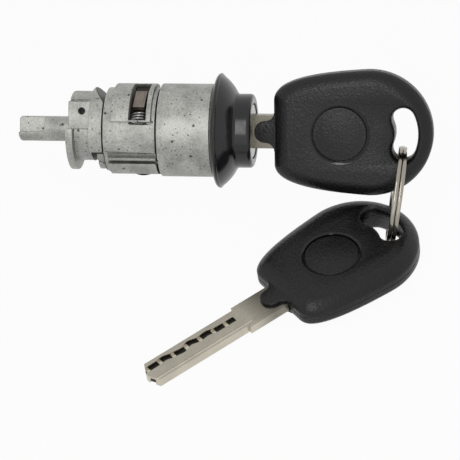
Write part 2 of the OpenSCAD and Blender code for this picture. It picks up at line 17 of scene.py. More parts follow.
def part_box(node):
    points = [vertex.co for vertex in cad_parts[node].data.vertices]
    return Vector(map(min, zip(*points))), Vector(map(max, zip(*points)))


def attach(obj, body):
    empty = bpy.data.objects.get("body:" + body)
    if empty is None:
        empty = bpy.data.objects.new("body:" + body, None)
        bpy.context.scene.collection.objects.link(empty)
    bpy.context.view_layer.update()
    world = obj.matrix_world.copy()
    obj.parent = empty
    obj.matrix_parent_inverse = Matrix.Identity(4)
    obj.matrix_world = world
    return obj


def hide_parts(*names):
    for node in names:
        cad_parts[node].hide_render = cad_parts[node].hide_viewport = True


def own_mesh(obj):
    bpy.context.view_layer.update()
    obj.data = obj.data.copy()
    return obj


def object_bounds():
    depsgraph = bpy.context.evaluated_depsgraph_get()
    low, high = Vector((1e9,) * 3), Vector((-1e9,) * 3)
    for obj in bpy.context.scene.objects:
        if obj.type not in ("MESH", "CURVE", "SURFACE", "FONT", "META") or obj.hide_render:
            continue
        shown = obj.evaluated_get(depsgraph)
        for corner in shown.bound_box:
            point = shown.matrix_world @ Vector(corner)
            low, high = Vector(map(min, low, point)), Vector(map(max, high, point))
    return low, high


bl_info = {
    "name": "Ignition lock cylinder",
    "version": (1, 0, 0),
    "blender": (4, 5, 0),
    "location": "3D View > Sidebar > Lock",
    "description": "Dresses an ignition lock cylinder and its two keys, and sets the studio around them",
    "category": "Object",
}

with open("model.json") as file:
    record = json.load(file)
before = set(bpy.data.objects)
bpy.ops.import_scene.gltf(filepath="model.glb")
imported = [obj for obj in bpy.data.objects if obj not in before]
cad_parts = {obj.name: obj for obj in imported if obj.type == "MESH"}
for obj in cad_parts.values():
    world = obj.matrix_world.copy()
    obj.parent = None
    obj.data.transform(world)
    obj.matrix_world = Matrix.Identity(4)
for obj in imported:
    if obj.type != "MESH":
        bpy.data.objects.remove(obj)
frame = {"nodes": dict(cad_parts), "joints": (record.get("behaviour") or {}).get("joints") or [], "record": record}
CAD_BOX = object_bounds()
RECORD = frame["record"]
BODY_OF = {node: body for body, nodes in RECORD["behaviour"]["bodies"].items() for node in nodes}
SLOT_OF = {part["node"]: part["material_slot"] for part in RECORD["subparts"]}
JOINTS = {joint["name"]: joint for joint in frame["joints"]}

MM = 0.001
SHARP = math.radians(32)
KEYS = ("key", "spare_key")
KEY_PLACE = "key_place"
WHITE = (1.0, 1.0, 1.0, 1.0)
ROUND = 96


def linear(hex_colour):
    """Linear RGB of an sRGB hex colour."""
    parts = [int(hex_colour[i:i + 2], 16) / 255 for i in (0, 2, 4)]
    return tuple(c / 12.92 if c <= 0.04045 else ((c + 0.055) / 1.055) ** 2.4 for c in parts)


def length(name, description, millimetres):
    """A length that a user may change, kept in metres."""
    return FloatProperty(
        name=name, description=description, default=millimetres * MM, min=0.0, precision=5, unit="LENGTH"
    )


def colour(name, description, hex_colour):
    """A colour that a user may change."""
    return FloatVectorProperty(
        name=name, description=description, default=linear(hex_colour), size=3, min=0.0, max=1.0, subtype="COLOR"
    )


class LockLooks(bpy.types.PropertyGroup):
    """Sizes and colours of the lock cylinder."""

    casting_edge: length("Casting edge", "Radius of the edges of the die-cast pieces", 0.3)
    turned_edge: length("Turned edge", "Radius of the edges of the plug, the catch and the springs", 0.12)
    sleeve_r: length("Sleeve radius", "Radius of the sleeve behind the bezel", 14.1)
    bezel_bore: length("Bezel bore", "Radius of the bezel's bore on the housing's spigot", 10.25)
    collar_r: length("Collar radius", "Radius of the bezel's collar around the key entry", 11.2)
    collar_x: length("Collar start", "Where the flare of the bezel runs into the collar", 7.7)
    lip_r: length("Lip radius", "Radius of the opening in the bezel's front", 8.4)
    lip_t: length("Lip thickness", "Thickness of the bezel's front lip", 1.1)
    lip_soft: length("Lip edge", "Radius of the edge of the front opening", 0.25)
    rim_r: length("Rim radius", "Radius of the flared rim", 17.39)
    rim_x: length("Rim place", "Distance of the flared rim in front of the sleeve", 1.9)
    rim_soft: length("Rim edge", "How far the rounding of the rim reaches inwards", 0.6)
    rim_back: length("Rim back", "How far the rounding of the rim reaches back", 0.9)
    rim_tip: length("Rim tip", "How far the rounding of the rim reaches forwards", 0.5)
    flare_bulge_r: length("Flare bulge outwards", "How far the flare is pulled out of a straight cone", 0.65)
    flare_bulge_x: length("Flare bulge forwards", "How far the flare is pulled ahead of a straight cone", 0.4)
    flare_foot: length("Flare foot", "Height of the fillet between the flare and the collar", 0.7)
    flare_x: length("Flare end", "Where the flare of the bezel ends in front of the sleeve", 6.6)
    collar_corner: length("Collar corner", "Radius of the collar's front corner", 1.3)
    zinc: colour("Zinc", "Colour of the die-cast zinc", "b7b8b2")
    bezel: colour("Bezel", "Colour of the gloss black moulding", "17181a")
    catch: colour("Catch", "Colour of the brushed steel catch", "787069")


class KeyLooks(bpy.types.PropertyGroup):
    """Sizes and colours of the keys and the ring."""

    head_len: length("Head length", "Length of a key head", 47.9)
    head_r: length("Head radius", "Radius of the round end of a key head", 19.0)
    head_t: length("Head thickness", "Thickness of a key head", 9.6)
    wall: length("Side wall", "Height of the upright side of one head half", 1.6)
    shoulder: length("Shoulder", "Width of the soft shoulder around the face", 4.4)
    parting: length("Parting groove", "Bevel of the head halves along their parting line", 0.2)
    loop_in: length("Loop inside", "Radius of the loop's inner side about the head's round end", 7.7)
    loop_wall: length("Loop wall", "Width of the head outside the loop", 4.5)
    inlay_r: length("Inlay radius", "Radius of the round inlay", 8.2)
    inlay_s: length("Inlay place", "Distance of the inlay's middle from the head's front edge", 20.0)
    inlay_deep: length("Inlay depth", "Depth of the inlay's recess", 1.2)
    inlay_gap: length("Inlay gap", "Width of the groove around the inlay", 0.25)
    inlay_soft: length("Inlay edge", "Radius of the inlay's edge", 0.75)
    recess_soft: length("Recess edge", "Width of the bevel around the inlay's recess", 0.8)
    blade_edge: length("Blade edge", "Radius of the blade's milled edges", 0.1)
    ring_wire_t: length("Ring wire thickness", "Thickness of the ring's wire across the ring", 1.9)
    ring_wire_w: length("Ring wire width", "Width of one turn of the ring's wire", 1.3)
    ring_r: length("Ring radius", "Outer radius of the split ring", 15.2)
    head: colour("Head", "Colour of the grained black head", "0c0c0d")
    blade: colour("Blade", "Colour of the nickel silver blade", "c6c0b1")
    ring: colour("Ring", "Colour of the nickel plated ring", "9a958b")


class StageLooks(bpy.types.PropertyGroup):
    """Floor, light and camera."""

    floor: colour("Floor", "Colour of the floor", "f2f2f2")
    lift: FloatProperty(
        name="Floor lift", description="Share of plain white in what the camera sees of the floor",
        default=0.95, min=0.0, max=1.0, subtype="FACTOR",
    )
    key_power: FloatProperty(
        name="Key light", description="Power of the soft light beside the camera",
        default=1.0, min=0.0, unit="POWER",
    )
    front_power: FloatProperty(
        name="Front light", description="Power of the broad low light in front",
        default=0.45, min=0.0, unit="POWER",
    )
    sky: FloatProperty(name="Sky", description="Strength of the room's light", default=0.3, min=0.0)


# Node helpers and finishes


def looks():
    """What a user may change: sizes, colours and the stage."""
    return bpy.context.scene.lock_cylinder


def fill(tree, node, inputs):
    """Sets or links a node's inputs by name or number."""
    for key, value in inputs.items():
        if isinstance(value, bpy.types.NodeSocket):
            tree.links.new(value, node.inputs[key])
        else:
            node.inputs[key].default_value = value


def add_node(tree, kind, inputs=None, output=0, **settings):
    """Adds a node with its settings and links, and returns one of its outputs."""
    made = tree.nodes.new(kind)
    for name, value in settings.items():
        setattr(made, name, value)
    fill(tree, made, inputs or {})
    return made.outputs[output]


def new_finish(name):
    """An empty material with its tree and its shader."""
    finish = bpy.data.materials.new(name)
    finish.use_nodes = True
    tree = finish.node_tree
    return finish, tree, tree.nodes["Principled BSDF"]


def per_metre(millimetres):
    """Scale of a pattern whose features are this far apart."""
    return 1.0 / (millimetres * MM)


def bands_per_metre(millimetres):
    """Scale of a wave texture whose bands are this far apart."""
    return math.tau / 20 * per_metre(millimetres)


def rgba(colour_value):
    """A colour with full alpha."""
    return (*colour_value, 1.0)


def darker(colour_value, share):
    """A colour with full alpha, times a share of its light."""
    return rgba(c * share for c in colour_value)


def within(tree, value, centre, half, soft, full=1.0):
    """Full where a length lies within half of a centre, all in millimetres, falling to 0 over a soft edge."""
    off = add_node(tree, "ShaderNodeMath", {0: value, 1: centre * MM}, operation="SUBTRACT")
    size = add_node(tree, "ShaderNodeMath", {0: off}, operation="ABSOLUTE")
    return add_node(tree, "ShaderNodeMapRange", {0: size, 1: half * MM, 2: (half + soft) * MM, 3: full, 4: 0.0})


def pits(tree, place, apart, small, large):
    """0 in round pits that lie about so many millimetres apart, and 1 elsewhere; the radii are shares of that."""
    cells = add_node(tree, "ShaderNodeTexVoronoi", {"Vector": place, "Scale": per_metre(apart), "Randomness": 1.0})
    return add_node(tree, "ShaderNodeMapRange", {0: cells, 1: small, 2: large})


def painted_shade_share(tree, place):
    """Share of painted shade: in the groove behind the sleeve, in the driver's notch and on its lug's slanted
    face.
    """
    slant_normal = (0.788, 0.396, 0.472)
    along = add_node(tree, "ShaderNodeSeparateXYZ", {0: place}, "X")
    across = add_node(tree, "ShaderNodeVectorMath", {0: place, 1: (0.0, 1.0, 1.0)}, operation="MULTIPLY")
    radius = add_node(tree, "ShaderNodeVectorMath", {0: across}, "Value", operation="LENGTH")
    slant = add_node(tree, "ShaderNodeVectorMath", {0: place, 1: slant_normal}, "Value", operation="DOT_PRODUCT")
    behind_sleeve = within(tree, along, centre=-16.27, half=0.3, soft=0.1)
    on_lug = within(tree, along, centre=-34.85, half=2.0, soft=0.2)
    thin_on_lug = within(tree, along, centre=-34.85, half=2.0, soft=0.2, full=0.85)
    groove = within(tree, radius, centre=0, half=12.7, soft=0.9, full=behind_sleeve)
    notch = within(tree, radius, centre=0, half=9.7, soft=1.5, full=on_lug)
    face = within(tree, slant, centre=-20.83, half=0.12, soft=0.08, full=thin_on_lug)
    hollows = add_node(tree, "ShaderNodeMath", {0: groove, 1: notch}, operation="MAXIMUM")
    return add_node(tree, "ShaderNodeMath", {0: hollows, 1: face}, operation="MAXIMUM")


def die_cast_zinc():
    # Zinc alloy as it leaves the die: a matt skin with fine grain, cloudy tone and open pores.
    # The pores, the groove behind the sleeve, the driver's notch and its lug's slanted face are darkened as
    # painted shade.
    # The grain is drawn coarser than a real one, so that it shows.
    finish, tree, shader = new_finish("die_cast_zinc")
    place = add_node(tree, "ShaderNodeTexCoord", output="Object")
    zinc = looks().lock.zinc
    cloud = add_node(tree, "ShaderNodeTexNoise", {"Vector": place, "Scale": per_metre(6), "Detail": 6.0})
    stain = add_node(tree, "ShaderNodeMapRange", {0: cloud, 1: 0.35, 2: 0.6})
    tone = add_node(tree, "ShaderNodeMix", {0: stain, 6: darker(zinc, 0.72), 7: rgba(zinc)}, 2, data_type="RGBA")
    grain = add_node(
        tree, "ShaderNodeTexNoise", {"Vector": place, "Scale": per_metre(0.55), "Detail": 3.0, "Roughness": 0.7}
    )
    speck = add_node(tree, "ShaderNodeMapRange", {0: grain, 1: 0.32, 2: 0.68, 3: 0.66, 4: 1.16})
    fine_pores = pits(tree, place, apart=1.5, small=0.08, large=0.2)
    wide_pores = pits(tree, place, apart=5.2, small=0.06, large=0.1)
    pores = add_node(tree, "ShaderNodeMath", {0: fine_pores, 1: wide_pores}, operation="MULTIPLY")
    # Painted shade: the open pores are darkened to about a sixth, as shade inside them.
    pore_light = add_node(tree, "ShaderNodeMapRange", {0: pores, 3: 0.16, 4: 1.0})
    # Painted shade: the groove behind the sleeve, the driver's notch and its lug's slanted face are darkened to a
    # twentieth.
    unshaded = add_node(tree, "ShaderNodeMapRange", {0: painted_shade_share(tree, place), 3: 1.0, 4: 0.05})
    light = add_node(tree, "ShaderNodeMath", {0: pore_light, 1: unshaded}, operation="MULTIPLY")
    light = add_node(tree, "ShaderNodeMath", {0: light, 1: speck}, operation="MULTIPLY")
    skin = add_node(
        tree, "ShaderNodeMix", {0: 1.0, 6: tone, 7: light}, 2, data_type="RGBA", blend_type="MULTIPLY"
    )
    rough = add_node(tree, "ShaderNodeMapRange", {0: grain, 1: 0.3, 2: 0.7, 3: 0.4, 4: 0.58})
    height = add_node(tree, "ShaderNodeMath", {0: grain, 1: pores}, operation="MULTIPLY")
    bump = add_node(tree, "ShaderNodeBump", {"Strength": 0.45, "Distance": 0.12 * MM, "Height": height})
    fill(tree, shader, {"Base Color": skin, "Metallic": 0.75, "Roughness": rough, "Normal": bump})
    return finish


def plug_zinc():
    # Turned zinc: a little brighter than the casting, with fine rings from the tool about the lock axis.
    # The rings are drawn further apart than real ones, so that they show.
    finish, tree, shader = new_finish("turned_zinc")
    place = add_node(tree, "ShaderNodeTexCoord", output="Object")
    rings = add_node(
        tree, "ShaderNodeTexWave",
        {"Vector": place, "Scale": bands_per_metre(0.2827), "Distortion": 1.5, "Detail": 2.0}, "Fac",
        wave_type="BANDS", bands_direction="X",
    )
    rough = add_node(tree, "ShaderNodeMapRange", {0: rings, 3: 0.3, 4: 0.42})
    bump = add_node(tree, "ShaderNodeBump", {"Strength": 0.1, "Distance": 0.05 * MM, "Height": rings})
    zinc = rgba(looks().lock.zinc)
    fill(tree, shader, {"Base Color": zinc, "Metallic": 1.0, "Roughness": rough, "Normal": bump})
    return finish


def bezel_black():
    # ABS from a polished tool: black and glossy, with a faint waviness and a few dull handling marks.
    finish, tree, shader = new_finish("gloss_black_abs")
    place = add_node(tree, "ShaderNodeTexCoord", output="Object")
    wave = add_node(tree, "ShaderNodeTexNoise", {"Vector": place, "Scale": per_metre(3), "Detail": 3.0})
    rough = add_node(tree, "ShaderNodeMapRange", {0: wave, 1: 0.3, 2: 0.7, 3: 0.15, 4: 0.27})
    bump = add_node(tree, "ShaderNodeBump", {"Strength": 0.08, "Distance": 0.05 * MM, "Height": wave})
    fill(tree, shader, {"Base Color": rgba(looks().lock.bezel), "IOR": 1.54, "Specular IOR Level": 0.38})
    fill(tree, shader, {"Roughness": rough, "Normal": bump})
    return finish


def polished_rim(tree, keys):
    """1 on the bevel around the inlay's recess, which is smooth in the tool."""
    place = add_node(tree, "ShaderNodeAttribute", output="Vector", attribute_name=KEY_PLACE)
    middle_of_inlay = (keys.inlay_s, 0.0, 0.0)
    off = add_node(tree, "ShaderNodeVectorMath", {0: place, 1: middle_of_inlay}, operation="SUBTRACT")
    flat = add_node(tree, "ShaderNodeVectorMath", {0: off, 1: (1.0, 0.0, 1.0)}, operation="MULTIPLY")
    radius = add_node(tree, "ShaderNodeVectorMath", {0: flat}, "Value", operation="LENGTH")
    half = keys.recess_soft / 2 / MM
    return within(tree, radius, centre=(keys.inlay_r + keys.inlay_gap) / MM + half, half=half, soft=0.1)


def grained_black(name):
    """Polyamide moulded in an etched tool; the grain is drawn a little coarser than a real one, to show."""
    finish, tree, shader = new_finish(name)
    keys = looks().keys
    place = add_node(tree, "ShaderNodeTexCoord", output="Object")
    cells = add_node(
        tree, "ShaderNodeTexVoronoi", {"Vector": place, "Scale": per_metre(0.62)}, feature="SMOOTH_F1"
    )
    fine = add_node(
        tree, "ShaderNodeTexNoise", {"Vector": place, "Scale": per_metre(0.7), "Detail": 3.0, "Roughness": 0.7}
    )
    tone = add_node(tree, "ShaderNodeMapRange", {0: fine, 1: 0.42, 2: 0.72})
    black = add_node(
        tree, "ShaderNodeMix", {0: tone, 6: darker(keys.head, 0.6), 7: darker(keys.head, 3.0)}, 2, data_type="RGBA"
    )
    polish = polished_rim(tree, keys)
    gloss = add_node(tree, "ShaderNodeMapRange", {0: polish, 3: 1.0, 4: 0.35})
    rough = add_node(tree, "ShaderNodeMapRange", {0: fine, 1: 0.3, 2: 0.7, 3: 0.42, 4: 0.24})
    rough = add_node(tree, "ShaderNodeMath", {0: rough, 1: gloss}, operation="MULTIPLY")
    grain = add_node(tree, "ShaderNodeMath", {0: cells, 1: fine}, operation="ADD")
    strength = add_node(tree, "ShaderNodeMapRange", {0: polish, 3: 0.7, 4: 0.0})
    bump = add_node(tree, "ShaderNodeBump", {"Strength": strength, "Distance": 0.12 * MM, "Height": grain})
    fill(tree, shader, {"Base Color": black, "IOR": 1.53, "Specular IOR Level": 0.3})
    fill(tree, shader, {"Roughness": rough, "Normal": bump})
    return finish


def head_plastic():
    # The head's grain scatters the light, so its edges glow grey instead of showing sharp highlights.
    return grained_black("grained_black_polyamide")


def inlay_plastic():
    # The inlay comes from the same kind of grained tool as the head.
    return grained_black("grained_black_inlay")


def blade_nickel_silver():
    # Nickel silver, milled and tumbled: warm grey, with fine tool lines along the blade and smears of tarnish.
    # The lines are drawn coarser than real ones, so that they show. The sheared edges are painted brighter than
    # the faces, as painted light, and near the head the blade's colour is darker. The milled track is painted
    # black as shade in its depth, but for bands at its steps.
    finish, tree, shader = new_finish("milled_nickel_silver")
    blade = looks().keys.blade
    place = add_node(tree, "ShaderNodeAttribute", output="Vector", attribute_name=KEY_PLACE)
    x, y, z = (add_node(tree, "ShaderNodeSeparateXYZ", {0: place}, axis) for axis in "XYZ")
    drawn_out = add_node(tree, "ShaderNodeMapping", {"Vector": place, "Scale": (0.12, 1.0, 1.0)})
    lines = add_node(tree, "ShaderNodeTexNoise", {"Vector": drawn_out, "Scale": per_metre(0.5), "Detail": 4.0})
    smear = add_node(tree, "ShaderNodeTexNoise", {"Vector": place, "Scale": per_metre(5), "Detail": 4.0})
    tone = add_node(tree, "ShaderNodeMix", {0: smear, 6: darker(blade, 0.7), 7: rgba(blade)}, 2, data_type="RGBA")
    # Painted light: the sheared edges are painted brighter than the faces.
    lit_edges = within(tree, y, centre=0, half=1.3, soft=0.1)
    light = add_node(tree, "ShaderNodeMapRange", {0: lit_edges, 3: 0.78, 4: 1.15})
    # The blade's colour darkens towards the head over its last 12 mm.
    darker_near_head = add_node(tree, "ShaderNodeMapRange", {0: x, 1: -12 * MM, 2: -5 * MM, 3: 1.0, 4: 0.42})
    light = add_node(tree, "ShaderNodeMath", {0: light, 1: darker_near_head}, operation="MULTIPLY")
    # Painted shade: the milled track is darkened in its depth, and left bare in bands at its steps.
    track = within(tree, y, centre=0, half=0.7, soft=0.3)
    track = within(tree, z, centre=0, half=3.4, soft=0.2, full=track)
    track = within(tree, x, centre=-31, half=16.2, soft=0.1, full=track)
    step_bands = add_node(
        tree, "ShaderNodeTexWave",
        {"Vector": place, "Scale": bands_per_metre(4.6), "Distortion": 1.2, "Detail": 1.0}, "Fac",
        wave_type="BANDS", bands_direction="X",
    )
    track_shade = add_node(tree, "ShaderNodeMapRange", {0: step_bands, 1: 0.1, 2: 0.2, 4: track})
    unshaded = add_node(tree, "ShaderNodeMapRange", {0: track_shade, 3: 1.0, 4: 0.05})
    light = add_node(tree, "ShaderNodeMath", {0: light, 1: unshaded}, operation="MULTIPLY")
    metal = add_node(
        tree, "ShaderNodeMix", {0: 1.0, 6: tone, 7: light}, 2, data_type="RGBA", blend_type="MULTIPLY"
    )
    rough = add_node(tree, "ShaderNodeMapRange", {0: lines, 1: 0.3, 2: 0.7, 3: 0.2, 4: 0.38})
    bump = add_node(tree, "ShaderNodeBump", {"Strength": 0.12, "Distance": 0.05 * MM, "Height": lines})
    fill(tree, shader, {"Base Color": metal, "Metallic": 1.0, "Roughness": rough, "Normal": bump})
    return finish


def ring_nickel():
    # Flattened steel wire with bright nickel plating, rubbed dull in places by the keys.
    finish, tree, shader = new_finish("nickel_plated_wire")
    place = add_node(tree, "ShaderNodeTexCoord", output="Object")
    rub = add_node(tree, "ShaderNodeTexNoise", {"Vector": place, "Scale": per_metre(2.5), "Detail": 4.0})
    rough = add_node(tree, "ShaderNodeMapRange", {0: rub, 1: 0.35, 2: 0.7, 3: 0.08, 4: 0.24})
    bump = add_node(tree, "ShaderNodeBump", {"Strength": 0.08, "Distance": 0.05 * MM, "Height": rub})
    nickel = rgba(looks().keys.ring)
    fill(tree, shader, {"Base Color": nickel, "Metallic": 1.0, "Roughness": rough, "Normal": bump})
    return finish


def catch_steel():
    # Steel stamping, brushed along the slot and slightly brown with temper colour; its low tongue inside the slot
    # is darkened as painted shade.
    # The brush lines are drawn coarser than real ones, so that they show.
    finish, tree, shader = new_finish("brushed_tempered_steel")
    place = add_node(tree, "ShaderNodeTexCoord", output="Object")
    steel = looks().lock.catch
    brushed = add_node(tree, "ShaderNodeMapping", {"Vector": place, "Scale": (1.0, 0.1, 0.1)})
    lines = add_node(tree, "ShaderNodeTexNoise", {"Vector": brushed, "Scale": per_metre(0.35), "Detail": 3.0})
    tone = add_node(
        tree, "ShaderNodeMix", {0: lines, 6: darker(steel, 0.45), 7: darker(steel, 1.5)}, 2, data_type="RGBA"
    )
    height = add_node(tree, "ShaderNodeSeparateXYZ", {0: place}, "Z")
    # Painted shade: the low tongue inside the slot is darker towards the bottom.
    unshaded = add_node(tree, "ShaderNodeMapRange", {0: height, 1: 10.3 * MM, 2: 11.6 * MM, 3: 0.22, 4: 1.0})
    metal = add_node(
        tree, "ShaderNodeMix", {0: 1.0, 6: tone, 7: unshaded}, 2, data_type="RGBA", blend_type="MULTIPLY"
    )
    bump = add_node(tree, "ShaderNodeBump", {"Strength": 0.3, "Distance": 0.05 * MM, "Height": lines})
    fill(tree, shader, {"Base Color": metal, "Metallic": 1.0, "Roughness": 0.33, "Normal": bump})
    return finish


def plain_metal(name, hex_colour, roughness, grain):
    """A metal of one colour whose gloss varies with a fine grain of so many millimetres."""
    finish, tree, shader = new_finish(name)
    place = add_node(tree, "ShaderNodeTexCoord", output="Object")
    gloss = add_node(tree, "ShaderNodeTexNoise", {"Vector": place, "Scale": per_metre(grain), "Detail": 3.0})
    rough = add_node(
        tree, "ShaderNodeMapRange", {0: gloss, 1: 0.3, 2: 0.7, 3: roughness * 0.8, 4: roughness * 1.2}
    )
    fill(tree, shader, {"Base Color": rgba(linear(hex_colour)), "Metallic": 1.0, "Roughness": rough})
    return finish


def spring_steel():
    # Drawn spring wire: bright and smooth.
    return plain_metal("drawn_spring_wire", "7a7a78", roughness=0.2, grain=0.6)


def shaded_pin():
    # The driver's pin is the same wire, painted dark as shade at the bottom of its hole.
    return plain_metal("steel_pin_painted_dark", "2a2a2a", roughness=0.4, grain=0.6)


def black_spring_steel():
    # Spring steel with a black oxide skin: dark, with the metal's own gloss.
    return plain_metal("black_oxide_steel", "1a1a1b", roughness=0.36, grain=0.8)


def wafer_brass():
    # Stamped sheet brass: yellow and fairly bright.
    return plain_metal("stamped_brass", "d0ac5c", roughness=0.3, grain=0.7)


def chip_epoxy():
    # Epoxy potted over the transponder chip: dark and glossy, dulled by a little dust.
    finish, tree, shader = new_finish("potted_epoxy")
    place = add_node(tree, "ShaderNodeTexCoord", output="Object")
    dust = add_node(tree, "ShaderNodeTexNoise", {"Vector": place, "Scale": per_metre(1.2), "Detail": 3.0})
    rough = add_node(tree, "ShaderNodeMapRange", {0: dust, 3: 0.2, 4: 0.4})
    fill(tree, shader, {"Base Color": rgba(linear("28282a")), "IOR": 1.55, "Roughness": rough})
    return finish


FINISHES = {
    finish.__name__: finish
    for finish in (
        die_cast_zinc, plug_zinc, bezel_black, black_spring_steel, catch_steel, spring_steel, wafer_brass,
        blade_nickel_silver, head_plastic, inlay_plastic, chip_epoxy, ring_nickel,
    )
}
made_finishes = {}


def finish_of(node):
    """The finish of a node's material slot, made when it is first needed."""
    slot = SLOT_OF[node]
    if slot not in made_finishes:
        made_finishes[slot] = FINISHES[slot]()
    return made_finishes[slot]


# Modelling helpers


def solid_of(node):
    """A bmesh of a node's solid, with its loose triangles merged and its flat faces joined."""
    bm = bmesh.new()
    bm.from_mesh(frame["nodes"][node].data)
    bmesh.ops.remove_doubles(bm, verts=bm.verts, dist=0.001 * MM)
    bmesh.ops.dissolve_limit(bm, angle_limit=math.radians(0.5), verts=bm.verts, edges=bm.edges)
    return bm


def round_edges(bm, radius):
    """Rounds every sharp edge of a bmesh."""
    sharp = [edge for edge in bm.edges if edge.is_manifold and edge.calc_face_angle() > SHARP]
    bmesh.ops.bevel(
        bm, geom=sharp, offset=radius, offset_type="OFFSET", segments=2, profile=0.5,
        affect="EDGES", clamp_overlap=False, material=-1,
    )


def piece(bm, node, matrix=None, weighted=False):
    """Makes the object that stands for a node, with its finish, and lets it ride on the node's body."""
    if matrix is not None:
        bmesh.ops.transform(bm, matrix=matrix, verts=bm.verts)
    mesh = bpy.data.meshes.new(node + "_finished")
    bm.to_mesh(mesh)
    bm.free()
    mesh.shade_smooth()
    mesh.set_sharp_from_angle(angle=SHARP)
    made = bpy.data.objects.new(node + "_finished", mesh)
    bpy.context.scene.collection.objects.link(made)
    mesh.materials.append(finish_of(node))
    if weighted:
        made.modifiers.new("flat_faces", "WEIGHTED_NORMAL").keep_sharp = True
    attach(made, BODY_OF[node])
    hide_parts(node)
    return made


def dress(node, finish=None):
    """Gives a node's own solid its slot's finish, or another one."""
    solid = frame["nodes"][node]
    solid.data.materials.clear()
    solid.data.materials.append(finish or finish_of(node))


def chain(bm, points):
    """Joins points into a line of edges, and returns its verts and edges."""
    verts = [bm.verts.new(point) for point in points]
    edges = [bm.edges.new(pair) for pair in zip(verts, verts[1:])]
    return verts + edges


def bend(a, b, c, n):
    """Points of a quadratic curve from a to c, pulled towards b, without its start."""
    a, b, c = Vector(a), Vector(b), Vector(c)
    return [(1 - t) ** 2 * a + 2 * t * (1 - t) * b + t * t * c for t in (i / n for i in range(1, n + 1))]


def close_up(bm):
    """Merges the seams of a bmesh and turns its faces outwards."""
    bmesh.ops.remove_doubles(bm, verts=bm.verts, dist=0.002 * MM)
    bmesh.ops.dissolve_degenerate(bm, dist=0.001 * MM, edges=bm.edges)
    bmesh.ops.recalc_face_normals(bm, faces=bm.faces)


def full_turn(bm, points, axis, steps):
    """Spins a line of points into a turned shape about an axis through the origin."""
    bmesh.ops.spin(
        bm, geom=chain(bm, points), cent=(0, 0, 0), axis=axis, dvec=(0, 0, 0),
        angle=math.tau, steps=steps, use_merge=True, use_duplicate=False,
    )
    close_up(bm)


def carved(bm, cutter, operation):
    """The bmesh of one shape cut by, or joined with, another."""
    made = []
    for shape in (bm, cutter):
        mesh = bpy.data.meshes.new("blank")
        shape.to_mesh(mesh)
        shape.free()
        made.append(bpy.data.objects.new("blank", mesh))
        bpy.context.scene.collection.objects.link(made[-1])
    cut = made[0].modifiers.new("cut", "BOOLEAN")
    cut.operation = operation
    cut.solver = "EXACT"
    cut.object = made[1]
    result = bmesh.new()
    result.from_object(made[0], bpy.context.evaluated_depsgraph_get())
    for blank in made:
        bpy.data.meshes.remove(blank.data)
    bmesh.ops.remove_doubles(result, verts=result.verts, dist=0.001 * MM)
    return result


def middle(node):
    """The middle of a node's box."""
    low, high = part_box(node)
    return (low + high) / 2


def corners(node):
    """The distinct corners of a node's mesh as rows."""
    places = np.array([vert.co for vert in frame["nodes"][node].data.vertices])
    return np.unique(places.round(7), axis=0)


def key_axes(prefix):
    """Frame of a key: X from tip to ring end, -Y out of the inlay's face, origin at the head's front edge."""
    keys = looks().keys
    chip = corners(prefix + "_chip")
    centre = Vector((chip.min(0) + chip.max(0)) / 2)
    _, axes = np.linalg.eigh(np.cov((chip - chip.mean(0)).T))
    along = Vector(axes[:, 2])
    across = Vector(axes[:, 0])
    if along.dot(centre - middle(prefix + "_blade")) < 0:
        along.negate()
    if across.dot(middle(prefix + "_inlay") - centre) > 0:
        across.negate()
    reach = max((corners(prefix + "_head_front") - np.array(centre)) @ np.array(along))
    origin = centre + along * (reach - keys.head_len)
    upward = along.cross(across)
    return Matrix.Translation(origin) @ Matrix((along, across, upward)).transposed().to_4x4()


def mark_key_place(made, axes):
    """Stores each vertex's place in the key's own frame for the finishes."""
    back = axes.inverted()
    along = made.data.attributes.new(KEY_PLACE, "FLOAT_VECTOR", "POINT")
    for vert, entry in zip(made.data.vertices, along.data):
        entry.vector = back @ vert.co


# Pieces


def bezel_profile(lock):
    """Half section of the bezel as points (x, 0, radius)."""
    low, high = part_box("bezel")
    front = high.x
    back = Vector((lock.rim_r - lock.rim_soft, lock.rim_x - lock.rim_back))
    tip = Vector((lock.rim_r - lock.rim_soft, lock.rim_x + lock.rim_tip))
    foot = Vector((lock.collar_r + lock.flare_foot, lock.flare_x))
    bulge = Vector((lock.flare_bulge_r, lock.flare_bulge_x))
    corner, soft = lock.collar_corner, lock.lip_soft
    outline = [(lock.bezel_bore, low.x), (lock.sleeve_r, low.x), back]
    outline += bend(back, (lock.rim_r + lock.rim_soft, lock.rim_x), tip, 12)
    outline += bend(tip, (tip + foot) / 2 + bulge, foot, 18)
    outline += bend(foot, (lock.collar_r, lock.flare_x + lock.flare_foot / 2), (lock.collar_r, lock.collar_x), 10)
    outline.append((lock.collar_r, front - corner))
    outline += bend((lock.collar_r, front - corner), (lock.collar_r, front), (lock.collar_r - corner, front), 10)
    outline.append((lock.lip_r + soft, front))
    outline += bend((lock.lip_r + soft, front), (lock.lip_r, front), (lock.lip_r, front - soft), 4)
    outline += [(lock.lip_r, front - lock.lip_t), (lock.bezel_bore, front - lock.lip_t), outline[0]]
    return [(x, 0.0, radius) for radius, x in outline]


def crown(keys):
    """Height and inset of the levels of a head half, from the parting plane to the face."""
    steps = 12
    power = 1.6
    rise = keys.head_t / 2 - keys.wall
    levels = [(0.0, keys.parting), (keys.parting, 0.0)]
    for i in range(steps + 1):
        angle = math.pi / 2 * i / steps
        inset = keys.shoulder * (1 - math.cos(angle) ** (2 / power))
        levels.append((keys.wall + rise * math.sin(angle) ** (2 / power), inset))
    return levels


